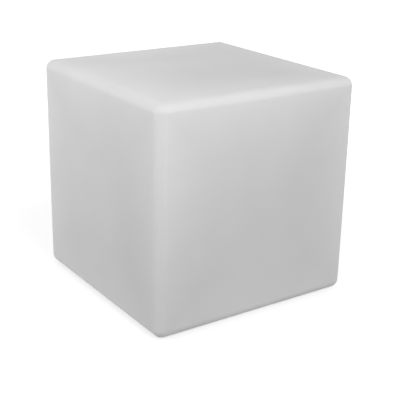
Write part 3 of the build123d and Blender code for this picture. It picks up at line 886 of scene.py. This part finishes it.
def raise_grain(tree, shader, height, depth):
    """The grain's depth is in metres."""
    bump = tree.nodes.new("ShaderNodeBump")
    bump.inputs["Strength"].default_value = 1.0
    bump.inputs["Distance"].default_value = depth
    tree.links.new(height, bump.inputs["Height"])
    tree.links.new(bump.outputs["Normal"], shader.inputs["Normal"])


shell_tone = blend_colours(shell_tree, paleness, deep_milk, pale_milk)
shell_tree.links.new(shell_tone, shell_shader.inputs["Base Color"])
raise_grain(shell_tree, shell_shader, grain.outputs["Grain"], shell_grain_depth)
print("tones from", deep_milk[0], "to", pale_milk[0])

# %% [markdown]
# ## Light inside the plastic
# In milky plastic light goes in and comes out again a few millimetres away, as it does in wax. A volume
# inside the wall would show this most truly, but it renders slowly and with noise. So half of the light is
# left to the shader's own subsurface scattering, with the same reach for all colours, because the plastic
# has none.

# %% Let light into the plastic
milkiness = 0.5
light_reach = 0.005
shell_shader.inputs["Subsurface Weight"].default_value = milkiness
shell_shader.inputs["Subsurface Radius"].default_value = (1.0, 1.0, 1.0)
shell_shader.inputs["Subsurface Scale"].default_value = light_reach
print("light reaches", light_reach * 1000, "mm into the plastic")

# %% [markdown]
# ## Moulded finishes
# Plastics, rubbers, lacquers and sleeves all come out of a mould, a die or a bath, so they differ mostly in
# colour, gloss and grain. Each could have nodes of its own, but one recipe serves them all. It takes the
# colour from two close tones mixed by the mottling, and the surface from the grain.

# %% Make the moulded finishes
def make_moulded(name, colour, roughness, grain=900.0, depth=0.00002, spread=0.12):
    """grain is in grains per metre, depth in metres, spread the share by which the two tones differ."""
    material, tree, shader = start_material(name, roughness)
    surface = place_group(tree, grain_group, Grain_per_metre=grain, Mottles_per_metre=40.0)
    darker = tuple(part * (1 - spread) for part in colour)
    paler = tuple(min(1.0, part * (1 + spread)) for part in colour)
    tone = blend_colours(tree, surface.outputs["Mottle"], darker, paler)
    tree.links.new(tone, shader.inputs["Base Color"])
    raise_grain(tree, shader, surface.outputs["Grain"], depth)
    return material


finishes = {
    "shell_plastic": shell_plastic,
    "white_plastic": make_moulded("white_abs", (0.60, 0.60, 0.585), 0.45),
    "black_plastic": make_moulded("black_abs", (0.02, 0.02, 0.021), 0.4),
    "dome_plastic": make_moulded("frosted_dome", (0.72, 0.73, 0.74), 0.55),
    "clear_plastic": make_moulded("clear_acrylic", (0.75, 0.78, 0.80), 0.08, depth=0.000004),
    "silicone": make_moulded("grey_silicone", (0.34, 0.34, 0.345), 0.62, grain=1500.0),
    "foot_rubber": make_moulded("foot_rubber", (0.055, 0.055, 0.056), 0.75, grain=1300.0, depth=0.00004),
    "foam": make_moulded("black_foam", (0.02, 0.02, 0.02), 0.95, grain=1100.0, depth=0.0002),
    "cell_sleeve": make_moulded("blue_cell_sleeve", (0.02, 0.07, 0.28), 0.25, depth=0.000005),
    "board_green": make_moulded("green_solder_mask", (0.01, 0.09, 0.03), 0.3, depth=0.00001),
    "chip_black": make_moulded("chip_black", (0.012, 0.012, 0.013), 0.6),
    "coil_grey": make_moulded("ferrite_grey", (0.03, 0.03, 0.033), 0.65),
    "board_white": make_moulded("white_solder_mask", (0.68, 0.68, 0.66), 0.3, depth=0.00001),
    "led_resin": make_moulded("yellow_led_resin", (0.72, 0.52, 0.12), 0.2, depth=0.000005),
    "ir_black": make_moulded("dark_lens", (0.012, 0.008, 0.012), 0.12, depth=0.000004),
    "lead_red": make_moulded("red_lead_sleeve", (0.38, 0.01, 0.008), 0.42),
    "lead_black": make_moulded("black_lead_sleeve", (0.012, 0.012, 0.012), 0.42),
    "cable_white": make_moulded("white_cable_sleeve", (0.55, 0.55, 0.53), 0.42),
}
print(len(finishes), "finishes without the metals")

# %% [markdown]
# ## Metal finishes
# A metal has no colour below its surface: all that it shows is a tinted reflection, so Metallic is 1. It
# could be left perfectly even, but a drawn, rolled or plated part never is. Its grain is finer than that of
# a moulding and much lower, and its darker tone lies close to its own.

# %% Make the metal finishes
metal_shade = 0.88
metal_grain_depth = 0.000008


def make_metal(name, colour, roughness):
    material, tree, shader = start_material(name, roughness, metallic=1.0)
    surface = place_group(tree, grain_group, Grain_per_metre=4000.0, Mottles_per_metre=120.0)
    darker = tuple(part * metal_shade for part in colour)
    tone = blend_colours(tree, surface.outputs["Mottle"], darker, colour)
    tree.links.new(tone, shader.inputs["Base Color"])
    raise_grain(tree, shader, surface.outputs["Grain"], metal_grain_depth)
    return material


finishes["brass"] = make_metal("brass", (0.60, 0.42, 0.16), 0.32)
finishes["stainless"] = make_metal("stainless_steel", (0.56, 0.56, 0.57), 0.3)
finishes["nickel"] = make_metal("nickel_plate", (0.58, 0.55, 0.50), 0.25)
finishes["can_aluminium"] = make_metal("brushed_aluminium", (0.66, 0.66, 0.68), 0.38)
print(len(finishes), "finishes with the metals")

# %% [markdown]
# ## Putting the finishes on
# The parts could be dressed one by one, but with this many a slip would go unseen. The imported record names
# each part's finish, so a loop does it. The parts keep their shapes and change only their material, and a
# new piece takes the finish that it was given by name above.

# %% Dress the parts and the new pieces
slot_of = {part["node"]: part["material_slot"] for part in frame["record"]["subparts"]}
for node, solid in frame["nodes"].items():
    solid.data.materials.clear()
    solid.data.materials.append(finishes[slot_of[node]])
made_pieces = [cube_shell, *foot_pads, *base_screws, button_cap, cover_flap, cover_root, hinge_web]
for piece in made_pieces:
    piece.data.materials.clear()
    piece.data.materials.append(finishes[piece["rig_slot"]])
print("dressed", len(slot_of), "parts and", len(made_pieces), "new pieces")

# %% [markdown]
# ## The floor
# The photograph stands the cube on plain white. A floor that is lit to white would throw too much light back
# at the cube, and one that only glows would take no shadow. So the paper is a middle grey for the light
# that bounces, and keeps the cube's soft shadow.

# %% Lay the floor
floor_side = 14
paper_grey = (0.5, 0.5, 0.5, 1)
white = (1, 1, 1, 1)

let_go()
bpy.ops.mesh.primitive_plane_add(size=floor_side, location=(0, 0, 0))
floor = bpy.context.active_object
floor.name = "floor"
floor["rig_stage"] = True
floor_paper, floor_tree, floor_shader = start_material("floor_paper", roughness=0.9)
floor.data.materials.append(floor_paper)
floor_shader.inputs["Base Color"].default_value = paper_grey
floor_shader.inputs["Specular IOR Level"].default_value = 0.0
floor_shader.inputs["Emission Color"].default_value = white
print("floor", floor_side, "m on a side")

# %% [markdown]
# ## White for the eye alone
# What turns the grey paper white is a glow that only the camera, mirrors and glass see: the Light Path node
# tells their rays from light that bounces. Farther out the lamps reach the paper less, so the glow grows
# with the distance from the cube, and the whole background reads as one white sheet.

# %% Make the paper white
near_white = 0.66
far_white = 0.34
whiter_from = 0.45
whiter_over = 1.2


def seen_by_eye(tree):
    """1 for camera, mirror and glass rays, which should meet white paper, and 0 for light that bounces."""
    ray = tree.nodes.new("ShaderNodeLightPath")
    seen = math_node(tree, "MAXIMUM", ray.outputs["Is Camera Ray"], ray.outputs["Is Glossy Ray"])
    return math_node(tree, "MAXIMUM", seen, ray.outputs["Is Transmission Ray"])


paper_place = floor_tree.nodes.new("ShaderNodeTexCoord")
paper_reach = floor_tree.nodes.new("ShaderNodeVectorMath")
paper_reach.operation = "LENGTH"
floor_tree.links.new(paper_place.outputs["Object"], paper_reach.inputs[0])
beyond = math_node(floor_tree, "SUBTRACT", paper_reach.outputs["Value"], whiter_from)
beyond = math_node(floor_tree, "DIVIDE", beyond, whiter_over, clamp=True)
whiteness = weighted_sum(floor_tree, near_white, (beyond, far_white))
paper_glow = math_node(floor_tree, "MULTIPLY", seen_by_eye(floor_tree), whiteness)
floor_tree.links.new(paper_glow, floor_shader.inputs["Emission Strength"])
print("glow from", near_white, "by the cube to", near_white + far_white, "far out")

# %% [markdown]
# ## A floor that is clear from below
# The button and the socket's cover are under the cube, and a camera has to go below the floor to look at
# them. Seen from there, the paper would hide everything. Its back is therefore a Transparent shader, which
# the Backfacing output of the Geometry node chooses.

# %% Clear the floor's back
paper_side = floor_tree.nodes.new("ShaderNodeNewGeometry")
clear_from_below = floor_tree.nodes.new("ShaderNodeBsdfTransparent")
either_side = floor_tree.nodes.new("ShaderNodeMixShader")
floor_tree.links.new(paper_side.outputs["Backfacing"], either_side.inputs[0])
floor_tree.links.new(floor_shader.outputs[0], either_side.inputs[1])
floor_tree.links.new(clear_from_below.outputs[0], either_side.inputs[2])
floor_tree.links.new(either_side.outputs[0], floor_tree.nodes["Material Output"].inputs["Surface"])
print("floor paper has", len(floor_tree.nodes), "nodes")

# %% [markdown]
# ## The sky
# An even pale sky fills the shadows, as the walls of a white studio do. An image of a studio would put its
# own lamps into every reflection, so the sky is plain. For the light that bounces it is grey, and the camera
# sees it as white.

# %% Make the sky
sky_level = 0.46
world = bpy.data.worlds.new("white_room")
bpy.context.scene.world = world
world.use_nodes = True
world_tree = world.node_tree
background = world_tree.nodes["Background"]
background.inputs["Color"].default_value = white
world_seen = seen_by_eye(world_tree)
extra = math_node(world_tree, "MULTIPLY", world_seen, 1 - sky_level)
world_tree.links.new(math_node(world_tree, "ADD", extra, sky_level), background.inputs["Strength"])
print("sky at", sky_level, "for the cube")

# %% [markdown]
# ## The lamps
# The photograph's wide face is a little greyer at its foot than at its top, and its shadows have no edges,
# so the lamps are large and soft. The stronger two stand before the two faces that show, and two weak ones
# keep the hidden sides from going dark. Together they light the cube at the level at which a colour renders
# about as it is written.

# %% Set the lamps
def soft_lamp(name, place, width, power):
    """A round lamp that looks at the cube's middle; its width is in metres and its power in watts."""
    lamp_data = bpy.data.lights.new(name, "AREA")
    lamp_data.shape = "DISK"
    lamp_data.size = width
    lamp_data.energy = power
    lamp = bpy.data.objects.new(name, lamp_data)
    bpy.context.scene.collection.objects.link(lamp)
    lamp.location = place
    lamp.rotation_euler = (cube_middle - Vector(place)).to_track_quat("-Z", "Y").to_euler()
    return lamp


lamps = [
    soft_lamp("left_lamp", (-1.6, 0.6, 0.6), 0.8, 8.8),
    soft_lamp("right_lamp", (-0.2, -1.6, 1.2), 0.8, 13.3),
    soft_lamp("back_lamp", (0.6, 1.6, 1.1), 0.9, 1.9),
    soft_lamp("side_lamp", (1.6, 0.6, 0.3), 0.6, 4.0),
]
print(len(lamps), "lamps,", round(sum(lamp.data.energy for lamp in lamps), 1), "W together")

# %% [markdown]
# ## Closing
# A new piece is easily drawn a little too large, and no picture shows it. The visual model has to keep the
# imported model's size, so its box is printed here, to be read against the packed model's box printed at the
# start.

# %% Print the visual box
low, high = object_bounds()
print("visual box", [round(v, 5) for v in (*low, *high)])
